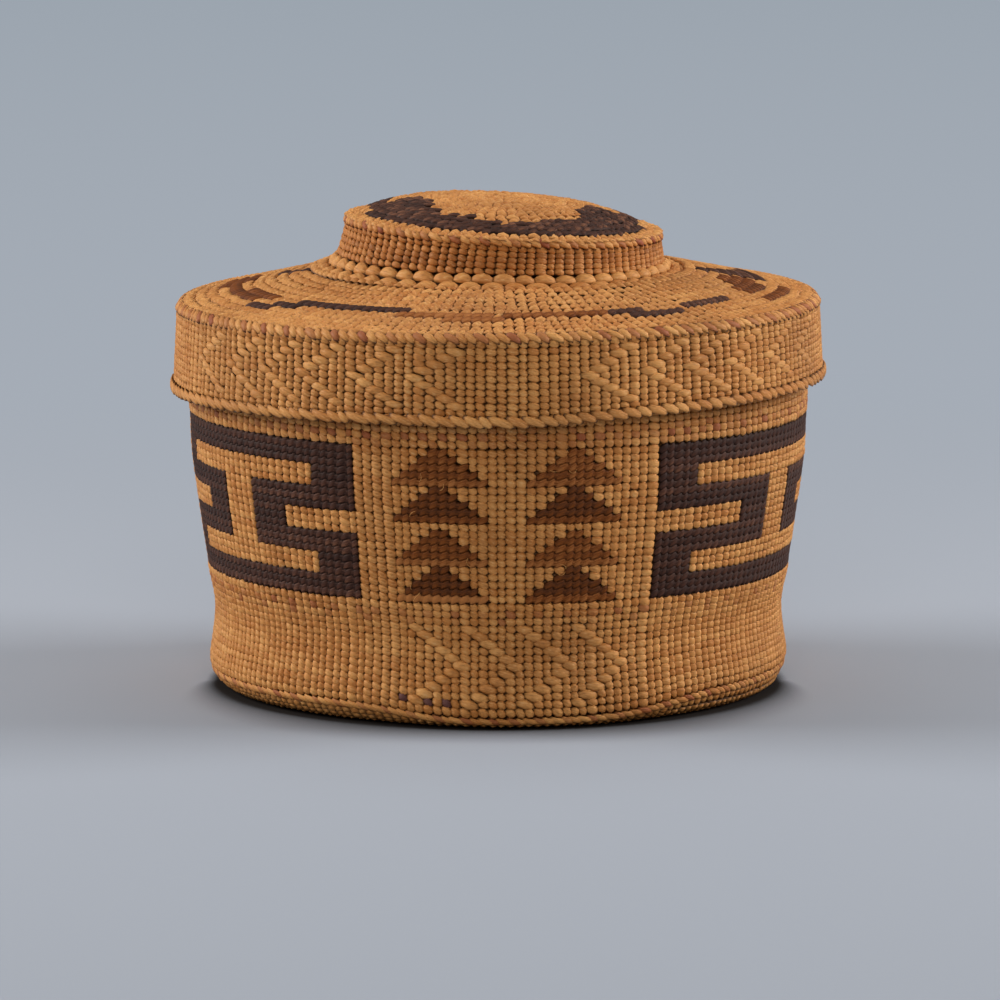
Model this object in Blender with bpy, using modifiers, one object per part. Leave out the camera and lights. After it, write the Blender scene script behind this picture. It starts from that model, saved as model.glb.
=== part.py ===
"""Lidded basket of twined spruce root, with a hollow rattle knob on its lid.

The basket is a straight-sided cup with a drawn-in waist and a turned heel. Its wall carries
three key figures and three pairs of triangle stacks, laid over the weave as dyed overlay.
The lid is a shallow cup that drops over the rim. Its top climbs gently to a wide, leaning
knob, which is closed below by a woven floor and holds a few loose pebbles.

Units are metres. The basket stands on z = 0 and its axis is the Z axis. The front of the
basket faces -Y.
"""

import math

import bmesh
import bpy

MM = 0.001

# Weave gauge
WARPS = 200
ROW = 1.67 * MM
LID_ROWS = 11
ROW_GROOVE = 0.5 * MM
LID_ROW_GROOVE = 0.7 * MM
GAP = 0.3 * MM
OVERLAY = 0.5 * MM

# Wall of the basket: each place is set in or out from the rim by this much
WALL = 2.0 * MM
BODY_HEIGHT = 88.1 * MM
RIM_RADIUS = 71.0 * MM
RIM_HEIGHT = 2.4 * MM
SHOULDER_OUT = 0.4 * MM
SHOULDER_HEIGHT = 58.0 * MM
BELLY_IN = 1.5 * MM
BELLY_HEIGHT = 42.0 * MM
FIGURE_FOOT_IN = 3.5 * MM
FIGURE_FOOT = 28.9 * MM
WAIST_IN = 5.35 * MM
WAIST_HEIGHT = 19.0 * MM
HEEL_IN = 3.9 * MM
HEEL_HEIGHT = 6.0 * MM

# Foot and bottom
FOOT_RING_WIDTH = 9.0 * MM
FOOT_FLAT_WIDTH = 4.0 * MM
FOOT_ROUND = 2.8 * MM
BASE_THICKNESS = 2.2 * MM
BASE_LIFT = 1.2 * MM
BASE_RISE = 2.0 * MM
BASE_SHARES = (0, 0.45, 0.8, 1)
RIDGE_HALF = 0.85 * MM

# Figures on the wall, counted in warps and rows
FIGURE_ROWS = 21
BAND_ROWS = 3
KEY_END_WARPS = 5
KEY_ARM_WARPS = {"right": 17, "back": 14, "left": 14}
KEY_GAP_WARPS = {"right": 5, "back": 4, "left": 5}
TRIANGLE_ROWS = 5
TRIANGLE_WARPS = 10
TRIANGLE_MARGIN_WARPS = 4
FRONT_TURN_DEGREES = 1.6

# Lid: its flange passes over the widest part of the wall with this clearance
LID_FIT = 1.0 * MM
FLANGE_FLARE = 0.9 * MM
FLANGE_WALL = 1.8 * MM
FLANGE_HEIGHT = 17.7 * MM
BRAID_HALF_WIDTH = 1.35 * MM
BRAID_HALF_HEIGHT = 1.2 * MM
LID_THICKNESS = 2.2 * MM
LID_RISE = 6.3 * MM
LID_SEAT_WIDTH = 4.0 * MM

# Knob
NECK_FLARE = 5.1 * MM
NECK_HEIGHT = 4.3 * MM
KNOB_RADIUS = 37.5 * MM
KNOB_TAPER = 0.9 * MM
KNOB_WALL = 2.0 * MM
KNOB_WALL_HEIGHT = 4.0 * MM
KNOB_RISE = 5.6 * MM
KNOB_DOME_POWER = 3.2
KNOB_TOP_THICKNESS = 1.7 * MM
KNOB_SHARES = (0, 0.35, 0.62, 0.84, 1)
KNOB_LEAN_DEGREES = 3.3
RATTLE_FLOOR = 1.6 * MM

# Dyed ring on the knob
KNOB_RING_MARGIN = 1.2 * MM
KNOB_RING_FRONT = 4.6 * MM
KNOB_RING_SIDE = 9.0 * MM
KNOB_RING_TEETH = 24
KNOB_RING_TOOTH = 1.0 * MM

# Stepped figure on the lid: runs of dyed overlay, each from one angle to another in
# degrees from the front, in one row counted from the edge
LID_FIGURE_ROWS = {
    "dark_front_left": [(-62, -54, 4), (-57, -48, 5), (-51, -20, 6)],
    "brown_front_left": [(-21, -2, 5), (-12, 1, 4)],
    "brown_front_right": [(1.6, 23, 5)],
    "dark_front_right": [(23.6, 33, 5), (29, 42, 4)],
    "dark_right": [(42.6, 58, 5)],
    "brown_right": [(69, 83, 5), (70, 88, 6), (74, 89, 7), (78, 87, 8)],
    "brown_right_edge": [(68, 87, 3)],
    "dark_back_right": [(91, 112, 5), (90, 107, 6), (90, 101, 7), (89, 97, 8), (88, 94, 9), (86, 91, 10)],
    "brown_back": [(140, 176, 5), (150, 166, 4)],
    "dark_back": [(184, 214, 6), (206, 226, 5)],
    "brown_left": [(-106, -92, 4), (-106, -66, 5), (-104, -93, 6), (-78, -60, 6)],
    "dark_left": [(-98, -93, 9), (-95, -90, 10), (-92, -88, 11)],
}

# Pebbles in the knob
PEBBLES = 7
PEBBLE_RADIUS = 2.3 * MM
PEBBLE_SPREAD = 19.0 * MM
PEBBLE_RATIOS = (1, 0.88, 0.8)
PEBBLE_SIZE_RATIOS = (1, 0.92, 0.84)

# Fineness of the facets
BODY_SIDES = 36
KNOB_SIDES = 32
RIDGE_SIDES = 6
BRAID_SIDES = 8
NECK_SIDES = 4
WIDEST_OVERLAY_WARPS = 3
WIDEST_BAND_DEGREES = 6

WARP_ANGLE = 2 * math.pi / WARPS
FRONT_TURN = math.radians(FRONT_TURN_DEGREES)
KNOB_LEAN = math.radians(KNOB_LEAN_DEGREES)
HEEL_RADIUS = RIM_RADIUS - HEEL_IN
SHOULDER_RADIUS = RIM_RADIUS + SHOULDER_OUT
FIGURE_TOP = FIGURE_FOOT + FIGURE_ROWS * ROW
TRIANGLE_PANEL = 2 * TRIANGLE_WARPS + 3 * TRIANGLE_MARGIN_WARPS
RIM_FOOT = BODY_HEIGHT - RIM_HEIGHT


def clear_scene():
    for old in list(bpy.data.objects):
        bpy.data.objects.remove(old)


def new_collection(name):
    collection = bpy.data.collections.new(name)
    bpy.context.scene.collection.children.link(collection)
    return collection


def new_material(name, colour, roughness):
    material = bpy.data.materials.new(name)
    material.use_nodes = True
    shader = material.node_tree.nodes["Principled BSDF"]
    linear = [pow(channel / 255, 2.2) for channel in bytes.fromhex(colour)]
    shader.inputs["Base Color"].default_value = (*linear, 1)
    shader.inputs["Roughness"].default_value = roughness
    shader.inputs["Metallic"].default_value = 0
    return material


def add_object(name, mesh, material, parent):
    piece = bpy.data.objects.new(name, mesh)
    piece.data.materials.append(material)
    piece.parent = parent
    BASKET.objects.link(piece)
    return piece


def add_empty(name):
    empty = bpy.data.objects.new(name, None)
    BASKET.objects.link(empty)
    return empty


def turned(name, profile, material, parent, sides=BODY_SIDES):
    """A solid of revolution. The profile is (radius, height) points, down the outer side first."""
    count = len(profile)
    edges = [(i, i + 1) for i in range(count - 1)]
    if profile[0][0] > 0:
        edges.append((count - 1, 0))
    mesh = bpy.data.meshes.new(name)
    mesh.from_pydata([(radius, 0, height) for radius, height in profile], edges, [])
    piece = add_object(name, mesh, material, parent)
    screw = piece.modifiers.new("Turn", "SCREW")
    screw.axis = "Z"
    screw.angle = 2 * math.pi
    screw.steps = sides
    screw.render_steps = sides
    screw.use_merge_vertices = True
    screw.merge_threshold = 0.00001
    screw.use_smooth_shade = True
    return piece


def cord_profile(radius, height, half_width, half_height, points=RIDGE_SIDES):
    """The rounded section of a braided or three-strand ring, from its top and outwards."""
    turns = [2 * math.pi * i / points for i in range(points)]
    return [(radius + half_width * math.sin(t), height + half_height * math.cos(t)) for t in turns]


def smooth_curve(stations, at):
    """Height-to-radius curve through the stations, with slopes taken from the neighbours."""
    last = len(stations) - 1
    span = 0
    while span < last - 1 and at > stations[span + 1][0]:
        span += 1

    def slope(i):
        before, after = stations[max(i - 1, 0)], stations[min(i + 1, last)]
        return (after[1] - before[1]) / (after[0] - before[0])

    (x0, y0), (x1, y1) = stations[span], stations[span + 1]
    width = x1 - x0
    t = min(max((at - x0) / width, 0), 1)
    rise = (3 - 2 * t) * t * t
    lean_in = slope(span) * width * t * (1 - t) ** 2
    lean_out = slope(span + 1) * width * t * t * (t - 1)
    return y0 + (y1 - y0) * rise + lean_in + lean_out


def body_radius(height):
    return smooth_curve(
        [
            (HEEL_HEIGHT, HEEL_RADIUS),
            (WAIST_HEIGHT, RIM_RADIUS - WAIST_IN),
            (FIGURE_FOOT, RIM_RADIUS - FIGURE_FOOT_IN),
            (BELLY_HEIGHT, RIM_RADIUS - BELLY_IN),
            (SHOULDER_HEIGHT, SHOULDER_RADIUS),
            (BODY_HEIGHT, RIM_RADIUS),
        ],
        height,
    )


def wall_ring(name, foot, top, levels, material, parent, inset=0.0, groove=0.0):
    """One band of the basket's wall, between two heights. With a groove, each level is a rib."""
    outer_heights = [top + (foot - top) * i / levels for i in range(levels + 1)]
    inner_heights = [foot, (foot + top) / 2, top]
    outer = [(body_radius(z) - inset - groove, z) for z in outer_heights]
    inner = [(body_radius(z) - WALL, z) for z in inner_heights]
    if groove:
        crests = [(above + below) / 2 for above, below in zip(outer_heights, outer_heights[1:])]
        outer = sorted(outer + [(body_radius(z) - inset, z) for z in crests], key=lambda spot: -spot[1])
    return turned(name, outer + inner, material, parent)


def divided(breaks, longest):
    """The break points, with long spans between them cut into equal shorter ones."""
    points = [breaks[0]]
    for start, end in zip(breaks, breaks[1:]):
        pieces = math.ceil((end - start) / longest - 1e-6)
        points += [start + (end - start) * i / pieces for i in range(1, pieces + 1)]
    return points


def overlay_patch(name, across, up, filled, place, material, parent):
    """Dyed overlay: the cells of a grid that filled() keeps, laid on a surface by place()."""
    grid = bmesh.new()
    bmesh.ops.create_grid(grid, x_segments=len(across) - 1, y_segments=len(up) - 1, size=1)
    spots = {}
    for vertex in grid.verts:
        column = round((vertex.co.x + 1) / 2 * (len(across) - 1))
        row = round((vertex.co.y + 1) / 2 * (len(up) - 1))
        spots[vertex] = (across[column], up[row])
    bare = []
    for face in grid.faces:
        corners = [spots[vertex] for vertex in face.verts]
        middle = [sum(values) / len(corners) for values in zip(*corners)]
        if not filled(*middle):
            bare.append(face)
    for vertex, spot in spots.items():
        vertex.co = place(*spot)
    bmesh.ops.delete(grid, geom=bare, context="FACES")
    mesh = bpy.data.meshes.new(name)
    grid.to_mesh(mesh)
    grid.free()
    piece = add_object(name, mesh, material, parent)
    thicken = piece.modifiers.new("Overlay", "SOLIDIFY")
    thicken.thickness = OVERLAY
    thicken.offset = 1
    thicken.use_even_offset = True
    return piece


def on_wall(warp, row):
    """Where a warp and row of the figures lie: warps run to the right, rows run down."""
    height = FIGURE_TOP - row * ROW
    angle = FRONT_TURN + (warp - TRIANGLE_PANEL / 2) * WARP_ANGLE
    radius = body_radius(height)
    return radius * math.sin(angle), -radius * math.cos(angle), height


# Foot, bottom and wall


def make_bottom(root, parent):
    ring_top = HEEL_HEIGHT - GAP
    ring_outer = HEEL_RADIUS - 2 * RIDGE_HALF + GAP
    ring_inner = ring_outer - FOOT_RING_WIDTH
    flat_inner = ring_outer - FOOT_ROUND - FOOT_FLAT_WIDTH
    bevel = 1 - math.sqrt(0.5)
    turned(
        "foot_ring",
        [
            (ring_outer, ring_top),
            (ring_outer, FOOT_ROUND),
            (ring_outer - FOOT_ROUND * bevel, FOOT_ROUND * bevel),
            (ring_outer - FOOT_ROUND, 0),
            (flat_inner, 0),
            (ring_inner, BASE_LIFT),
            (ring_inner, ring_top),
        ],
        root,
        parent,
    )
    turned(
        "heel_ridge",
        cord_profile(ring_outer + GAP + RIDGE_HALF, ring_top - RIDGE_HALF, RIDGE_HALF, RIDGE_HALF),
        root,
        parent,
    )
    base_edge = ring_inner - GAP
    under = [(base_edge * s, BASE_LIFT + BASE_RISE * (1 - s * s)) for s in BASE_SHARES]
    top = [(radius, height + BASE_THICKNESS) for radius, height in under]
    turned("base", top + under[::-1], root, parent)


def make_wall(root, parent):
    lower_top = FIGURE_FOOT - GAP
    lower_rows = round((lower_top - HEEL_HEIGHT) / ROW)
    wall_ring("lower_wall", HEEL_HEIGHT, lower_top, lower_rows, root, parent, groove=ROW_GROOVE)
    bands = FIGURE_ROWS // BAND_ROWS
    wall_ring("figure_wall", FIGURE_FOOT, FIGURE_TOP, bands, root, parent, inset=GAP)
    wall_ring("upper_wall", FIGURE_TOP + GAP, RIM_FOOT - GAP, 3, root, parent)
    half_width = WALL / 2 + GAP
    turned(
        "body_rim",
        cord_profile(RIM_RADIUS - WALL / 2, BODY_HEIGHT - RIM_HEIGHT / 2, half_width, RIM_HEIGHT / 2),
        root,
        parent,
    )


# Figures on the wall


def make_key_figure(side, first_warp, dark, parent):
    """A frame whose two ends each turn in as an S, mirrored about a gap in the middle."""
    arm, gap = KEY_ARM_WARPS[side], KEY_GAP_WARPS[side]
    width = 2 * arm + gap

    def filled(warp, row):
        from_end = min(warp - first_warp, first_warp + width - warp)
        band = int(row // BAND_ROWS)
        if band in (0, 6):
            return True
        if band in (1, 5):
            return from_end < KEY_END_WARPS
        if band in (2, 4):
            return from_end < arm
        return arm - KEY_END_WARPS < from_end < arm

    left = [0, KEY_END_WARPS, arm - KEY_END_WARPS, arm]
    breaks = left + [width - warp for warp in reversed(left)]
    warps = [first_warp + warp for warp in divided(breaks, WIDEST_OVERLAY_WARPS)]
    rows = list(range(FIGURE_ROWS, -1, -BAND_ROWS))
    overlay_patch("key_figure_" + side, warps, rows, filled, on_wall, dark, parent)
    return width


def make_triangle_stacks(side, first_warp, brown, parent):
    """Two stacks side by side. Each is two pairs of stepped triangles with a bare row between."""
    half = TRIANGLE_WARPS // 2
    steps = [warp for warp in range(TRIANGLE_WARPS + 1) if warp != half]
    starts = {
        "left": first_warp + TRIANGLE_MARGIN_WARPS,
        "right": first_warp + TRIANGLE_PANEL - TRIANGLE_MARGIN_WARPS - TRIANGLE_WARPS,
    }
    pair_rows = 2 * TRIANGLE_ROWS
    for stack, start in starts.items():
        for place, top_row in (("upper", 0), ("lower", FIGURE_ROWS - pair_rows)):
            def filled(warp, row, start=start, top_row=top_row):
                reach = int(row - top_row) % TRIANGLE_ROWS + 1
                return abs(warp - start - half) < reach

            overlay_patch(
                f"triangles_{side}_{stack}_{place}",
                [start + warp for warp in steps],
                list(range(top_row + pair_rows, top_row - 1, -1)),
                filled,
                on_wall,
                brown,
                parent,
            )


def make_figures(dark, brown, parent):
    warp = 0
    for side, next_side in (("front", "right"), ("back_right", "back"), ("back_left", "left")):
        make_triangle_stacks(side, warp, brown, parent)
        warp += TRIANGLE_PANEL
        warp += make_key_figure(next_side, warp, dark, parent)


# Lid

FLANGE_INNER = SHOULDER_RADIUS + LID_FIT
LID_EDGE_RADIUS = FLANGE_INNER - GAP
FLANGE_TOP = BODY_HEIGHT + GAP + LID_THICKNESS - 2 * RIDGE_HALF - GAP / 2
NECK_RADIUS = KNOB_RADIUS + NECK_FLARE
LID_EDGE_TOP = BODY_HEIGHT + GAP + LID_THICKNESS
NECK_FOOT = LID_EDGE_TOP + LID_RISE
NECK_TOP = NECK_FOOT + NECK_HEIGHT
KNOB_WALL_TOP = NECK_TOP + GAP + KNOB_WALL_HEIGHT
KNOB_EDGE_RADIUS = KNOB_RADIUS - KNOB_TAPER - 2 * RIDGE_HALF - GAP
KNOB_EDGE_TOP = KNOB_WALL_TOP + GAP + KNOB_TOP_THICKNESS


def lid_row_edge(row):
    """Radius of the edge of a row of the lid's top, counted from the lid's edge."""
    return LID_EDGE_RADIUS - row * (LID_EDGE_RADIUS - NECK_RADIUS - GAP) / LID_ROWS


def lid_height(radius):
    """Height of the lid's top surface, a shallow cone from the edge to the knob's neck."""
    return LID_EDGE_TOP + LID_RISE * (LID_EDGE_RADIUS - radius) / (LID_EDGE_RADIUS - NECK_RADIUS)


def knob_height(radius):
    """Height of the knob's domed top, before it leans."""
    return KNOB_EDGE_TOP + KNOB_RISE * (1 - (radius / KNOB_EDGE_RADIUS) ** KNOB_DOME_POWER)


def leaned(x, height):
    """Height of a point after the knob leans to the right, from nothing at the neck's foot."""
    share = min(max((height - NECK_FOOT) / (KNOB_WALL_TOP - NECK_FOOT), 0), 1)
    return height - share * x * math.tan(KNOB_LEAN)


def lean_piece(piece):
    """Replace a turned piece's mesh with its turned form, leaned over with the knob."""
    evaluated = piece.evaluated_get(bpy.context.evaluated_depsgraph_get())
    mesh = bpy.data.meshes.new_from_object(evaluated)
    piece.modifiers.clear()
    piece.data = mesh
    for vertex in mesh.vertices:
        vertex.co.z = leaned(vertex.co.x, vertex.co.z)


def make_flange(root, parent):
    foot_inner = FLANGE_INNER + FLANGE_FLARE
    foot = FLANGE_TOP - FLANGE_HEIGHT
    turned(
        "lid_flange",
        [
            (FLANGE_INNER + FLANGE_WALL, FLANGE_TOP),
            (foot_inner + FLANGE_WALL, foot),
            (foot_inner, foot),
            (FLANGE_INNER, FLANGE_TOP),
        ],
        root,
        parent,
    )
    turned(
        "lid_rim_braid",
        cord_profile(
            foot_inner + BRAID_HALF_WIDTH,
            foot - GAP - BRAID_HALF_HEIGHT,
            BRAID_HALF_WIDTH,
            BRAID_HALF_HEIGHT,
            BRAID_SIDES,
        ),
        root,
        parent,
    )
    turned(
        "lid_edge_ridge",
        cord_profile(
            FLANGE_INNER + RIDGE_HALF, FLANGE_TOP + GAP + RIDGE_HALF, RIDGE_HALF, RIDGE_HALF
        ),
        root,
        parent,
    )


def make_lid_top(root, parent):
    seat = BODY_HEIGHT + GAP
    seat_inner = RIM_RADIUS - LID_SEAT_WIDTH
    inner = NECK_RADIUS + GAP
    middle = (seat_inner + inner) / 2
    ribs = []
    for row in reversed(range(LID_ROWS)):
        crest = lid_row_edge(row + 0.5)
        ribs.append((crest, lid_height(crest)))
        if row:
            ribs.append((lid_row_edge(row), lid_height(lid_row_edge(row)) - LID_ROW_GROOVE))
    turned(
        "lid_top",
        [
            (LID_EDGE_RADIUS, lid_height(LID_EDGE_RADIUS)),
            (LID_EDGE_RADIUS, seat),
            (seat_inner, seat),
            (middle, lid_height(middle) - LID_THICKNESS),
            (inner, lid_height(inner) - LID_THICKNESS),
            (inner, lid_height(inner)),
        ]
        + ribs,
        root,
        parent,
    )


def make_lid_figure(dark, brown, parent):
    """Runs of dyed overlay that step in and out by a row at a time round the lid."""

    def on_lid(degrees, row):
        radius = lid_row_edge(row)
        angle = math.radians(degrees)
        return radius * math.sin(angle), -radius * math.cos(angle), lid_height(radius) + GAP

    for name, runs in LID_FIGURE_ROWS.items():

        def filled(degrees, row, runs=runs):
            return any(start < degrees < end and line - 1 < row < line for start, end, line in runs)

        turns = sorted({end for run in runs for end in run[:2]})
        lines = [run[2] for run in runs]
        overlay_patch(
            "lid_figure_" + name,
            divided(turns, WIDEST_BAND_DEGREES),
            list(range(min(lines) - 1, max(lines) + 1)),
            filled,
            on_lid,
            dark if name.startswith("dark") else brown,
            parent,
        )


def make_knob(root, dark, parent):
    flare = []
    for i in range(NECK_SIDES + 1):
        turn = math.pi / 2 * i / NECK_SIDES
        flare.append(
            (KNOB_RADIUS + NECK_FLARE * (1 - math.cos(turn)), NECK_TOP - NECK_HEIGHT * math.sin(turn))
        )
    floor_radius = KNOB_RADIUS - GAP / 2
    neck = turned(
        "knob_neck",
        flare
        + [
            (NECK_RADIUS, NECK_FOOT - LID_THICKNESS),
            (floor_radius, NECK_FOOT - LID_THICKNESS),
            (floor_radius, NECK_FOOT - LID_THICKNESS + RATTLE_FLOOR + GAP),
            (KNOB_RADIUS - KNOB_WALL, NECK_TOP),
        ],
        root,
        parent,
        KNOB_SIDES,
    )
    wall_foot = NECK_TOP + GAP
    top_radius = KNOB_RADIUS - KNOB_TAPER
    wall = turned(
        "knob_wall",
        [
            (top_radius, KNOB_WALL_TOP),
            (KNOB_RADIUS, wall_foot),
            (KNOB_RADIUS - KNOB_WALL, wall_foot),
            (top_radius - KNOB_WALL, KNOB_WALL_TOP),
        ],
        root,
        parent,
        KNOB_SIDES,
    )
    ridge = turned(
        "knob_edge_ridge",
        cord_profile(
            KNOB_EDGE_RADIUS + GAP + RIDGE_HALF,
            KNOB_WALL_TOP + GAP + RIDGE_HALF,
            RIDGE_HALF,
            RIDGE_HALF,
        ),
        root,
        parent,
        KNOB_SIDES,
    )
    top_line = [(KNOB_EDGE_RADIUS * s, knob_height(KNOB_EDGE_RADIUS * s)) for s in KNOB_SHARES]
    under_line = [(radius, height - KNOB_TOP_THICKNESS) for radius, height in reversed(top_line)]
    top = turned("knob_top", top_line + under_line, root, parent, KNOB_SIDES)
    turned(
        "rattle_floor",
        [
            (0, NECK_FOOT - LID_THICKNESS + RATTLE_FLOOR),
            (floor_radius - GAP, NECK_FOOT - LID_THICKNESS + RATTLE_FLOOR),
            (floor_radius - GAP, NECK_FOOT - LID_THICKNESS),
            (0, NECK_FOOT - LID_THICKNESS),
        ],
        root,
        parent,
        KNOB_SIDES,
    )
    for piece in (neck, wall, ridge, top):
        lean_piece(piece)
    make_knob_ring(dark, parent)


def make_knob_ring(dark, parent):
    """The dyed ring near the knob's edge, narrow in front and wide at the sides, toothed inside."""
    outer = KNOB_EDGE_RADIUS - KNOB_RING_MARGIN
    sectors = 2 * KNOB_RING_TEETH

    def on_knob(sector, depth):
        angle = 2 * math.pi * sector / sectors
        width = KNOB_RING_FRONT + (KNOB_RING_SIDE - KNOB_RING_FRONT) * math.sin(angle) ** 2
        tooth = KNOB_RING_TOOTH if sector % 2 else 0
        radius = outer - depth * (width + tooth)
        x = radius * math.sin(angle)
        return x, -radius * math.cos(angle), leaned(x, knob_height(radius)) + GAP

    ring = overlay_patch(
        "knob_ring",
        list(range(sectors + 1)),
        [0, 0.5, 1],
        lambda sector, depth: True,
        on_knob,
        dark,
        parent,
    )
    joined = bmesh.new()
    joined.from_mesh(ring.data)
    bmesh.ops.remove_doubles(joined, verts=joined.verts, dist=0.00001)
    joined.to_mesh(ring.data)
    joined.free()


def make_pebbles(stone, parent):
    """Loose pebbles on the floor of the knob, spread like the seeds of a sunflower."""
    floor = NECK_FOOT - LID_THICKNESS + RATTLE_FLOOR
    golden_angle = math.pi * (3 - math.sqrt(5))
    for i in range(PEBBLES):
        radius = PEBBLE_RADIUS * PEBBLE_SIZE_RATIOS[i % len(PEBBLE_SIZE_RATIOS)]
        reach = PEBBLE_SPREAD * math.sqrt(i / PEBBLES)
        angle = golden_angle * i
        height = floor + GAP + PEBBLE_RATIOS[2] * radius
        place = (reach * math.cos(angle), reach * math.sin(angle), height)
        bpy.ops.mesh.primitive_ico_sphere_add(subdivisions=2, radius=radius, location=place)
        pebble = bpy.context.object
        pebble.name = f"pebble_{i + 1}"
        pebble.data.name = pebble.name
        pebble.scale = PEBBLE_RATIOS
        bpy.ops.object.transform_apply(location=False, rotation=False, scale=True)
        pebble.data.shade_smooth()
        pebble.data.materials.append(stone)
        for collection in list(pebble.users_collection):
            collection.objects.unlink(pebble)
        BASKET.objects.link(pebble)
        pebble.parent = parent


clear_scene()
BASKET = new_collection("spruce_root_basket")
ROOT = new_material("spruce_root", "B9874C", 0.75)
DARK = new_material("dark_dyed_overlay", "372A2C", 0.7)
BROWN = new_material("brown_dyed_overlay", "7C4A20", 0.7)
STONE = new_material("pebble_stone", "8A857C", 0.8)

body = add_empty("body")
lid = add_empty("lid")
make_bottom(ROOT, body)
make_wall(ROOT, body)
make_figures(DARK, BROWN, body)
make_flange(ROOT, lid)
make_lid_top(ROOT, lid)
make_lid_figure(DARK, BROWN, lid)
make_knob(ROOT, DARK, lid)
make_pebbles(STONE, lid)
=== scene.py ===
import math

import bmesh
import bpy
import numpy as np
from mathutils.bvhtree import BVHTree
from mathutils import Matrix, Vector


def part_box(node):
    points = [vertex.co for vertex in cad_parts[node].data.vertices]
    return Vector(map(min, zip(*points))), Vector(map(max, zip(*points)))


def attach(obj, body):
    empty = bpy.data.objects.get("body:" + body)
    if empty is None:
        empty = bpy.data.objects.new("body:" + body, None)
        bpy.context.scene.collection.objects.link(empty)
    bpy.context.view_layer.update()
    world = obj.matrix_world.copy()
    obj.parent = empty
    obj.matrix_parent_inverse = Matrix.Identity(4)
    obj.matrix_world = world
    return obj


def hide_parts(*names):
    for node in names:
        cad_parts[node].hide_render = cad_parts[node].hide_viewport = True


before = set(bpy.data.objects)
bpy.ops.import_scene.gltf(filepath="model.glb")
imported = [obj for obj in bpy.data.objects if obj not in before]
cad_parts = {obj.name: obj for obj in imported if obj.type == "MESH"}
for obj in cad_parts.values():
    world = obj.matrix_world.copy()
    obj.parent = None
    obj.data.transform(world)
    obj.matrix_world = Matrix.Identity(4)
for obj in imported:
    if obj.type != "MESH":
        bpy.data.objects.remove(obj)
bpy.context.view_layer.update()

random = np.random.default_rng(7)


# Bottom of the basket. The weaver starts here, at the crossing of the first split spruce roots,
# and twines two weft roots round the standing warps, adding warps as the disc grows. The disc
# is drawn up in the middle, so that the basket stands on the ring where the wall turns up.
MM = 0.001
link = bpy.context.scene.collection.objects.link
TURN = 2 * math.pi
STRAND_DEPTH = 1.0                  # outside of the fabric to its middle
SECTION_SIDES = 6
BASE_ROWS = 30
FIRST_RADIUS = 1.6
BASE_LAST_RADIUS = 59.5
WARP_SPACING = 2.2
FIRST_WARPS = 8
WARPS = 200
FRONT_COLUMN_TURN = math.radians(1.6)
ROOT_LENGTH = 14                    # stitches that one length of root gives
UNEVEN_DEPTH = 0.1                  # pitches that a row rises and falls
FLOAT_PROUD = 1.22                  # how much further out a stitch over two warps stands
PLAIN_SHADE = 0.35                  # tone of the darkest root of most of the fabric; the knob's wall goes below it
PLAIN_TWINE = dict(lift=0.72, lean=0.17, stray=0.05, shade=PLAIN_SHADE, outside=(0.05, 0.2, 0.5, 0.8, 0.95),
                   inside=(0.27, 0.73))
COARSE_TWINE = dict(PLAIN_TWINE, lift=0.5, outside=(0.1, 0.5, 0.9), inside=(0.5,))


def linear(text):
    """Linear colour from an sRGB hex value such as #a07040."""
    parts = [int(text[i:i + 2], 16) / 255 for i in (1, 3, 5)]
    return [p / 12.92 if p <= 0.04045 else ((p + 0.055) / 1.055) ** 2.4 for p in parts] + [1.0]


def empty_material(name):
    """A material with no nodes yet."""
    made = bpy.data.materials.new(name)
    made.use_nodes = True
    made.node_tree.nodes.clear()
    return made


def add_node(material, kind, values=None, links=None, **settings):
    """Adds a shader node with its settings, its sockets' values and its links, as (node, output)."""
    made = material.node_tree.nodes.new("ShaderNode" + kind)
    for key, value in settings.items():
        setattr(made, key, value)
    for socket, value in (values or {}).items():
        made.inputs[socket].default_value = value
    for socket, (source, output) in (links or {}).items():
        material.node_tree.links.new(source.outputs[output], made.inputs[socket])
    return made


def skin(*names):
    """The faces of the named CAD nodes, as a tree that a probe can meet."""
    corners, faces = [], []
    for name in names:
        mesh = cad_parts[name].data
        first = len(corners)
        corners += [v.co / MM for v in mesh.vertices]
        faces += [[first + i for i in p.vertices] for p in mesh.polygons]
    return BVHTree.FromPolygons(corners, faces)


def side_points(tree, heights):
    """(radius, height) of the places where level probes from the front meet the skin."""
    spots = [tree.ray_cast((0.01, -200.0, height), (0, 1, 0))[0] for height in heights]
    return [(-spot.y, spot.z) for spot in spots if spot and spot.y < 0]


def face_points(tree, radii, above):
    """(radius, height) of the places where upright probes from above or below meet the skin."""
    spots = [tree.ray_cast((0.01, -radius, 200.0 if above else -50.0), (0, 0, -1 if above else 1))[0]
             for radius in radii]
    return [(-spot.y, spot.z) for spot in spots if spot]


def middle_line(points, depth=STRAND_DEPTH, step=0.25, ease=9):
    """Line of the fabric's middle under an outside line: arc length, place and outward normal."""
    points = np.array(points, float)
    length = np.append(0, np.cumsum(np.hypot(*np.diff(points, axis=0).T)))
    even = np.arange(0, length[-1], step)
    line = np.stack([np.interp(even, length, points[:, i]) for i in (0, 1)], axis=1)
    padded = np.concatenate([2 * line[0] - line[ease:0:-1], line, 2 * line[-1] - line[-2:-ease - 2:-1]])
    weights = np.ones(2 * ease + 1) / (2 * ease + 1)
    line = np.stack([np.convolve(padded[:, i], weights, "valid") for i in (0, 1)], axis=1)
    along = np.gradient(line, axis=0)
    along /= np.linalg.norm(along, axis=1)[:, None]
    normal = np.stack([along[:, 1], -along[:, 0]], axis=1)
    line = line - depth * normal
    length = np.append(0, np.cumsum(np.hypot(*np.diff(line, axis=0).T)))
    return dict(length=length, line=line, normal=normal)


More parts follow.
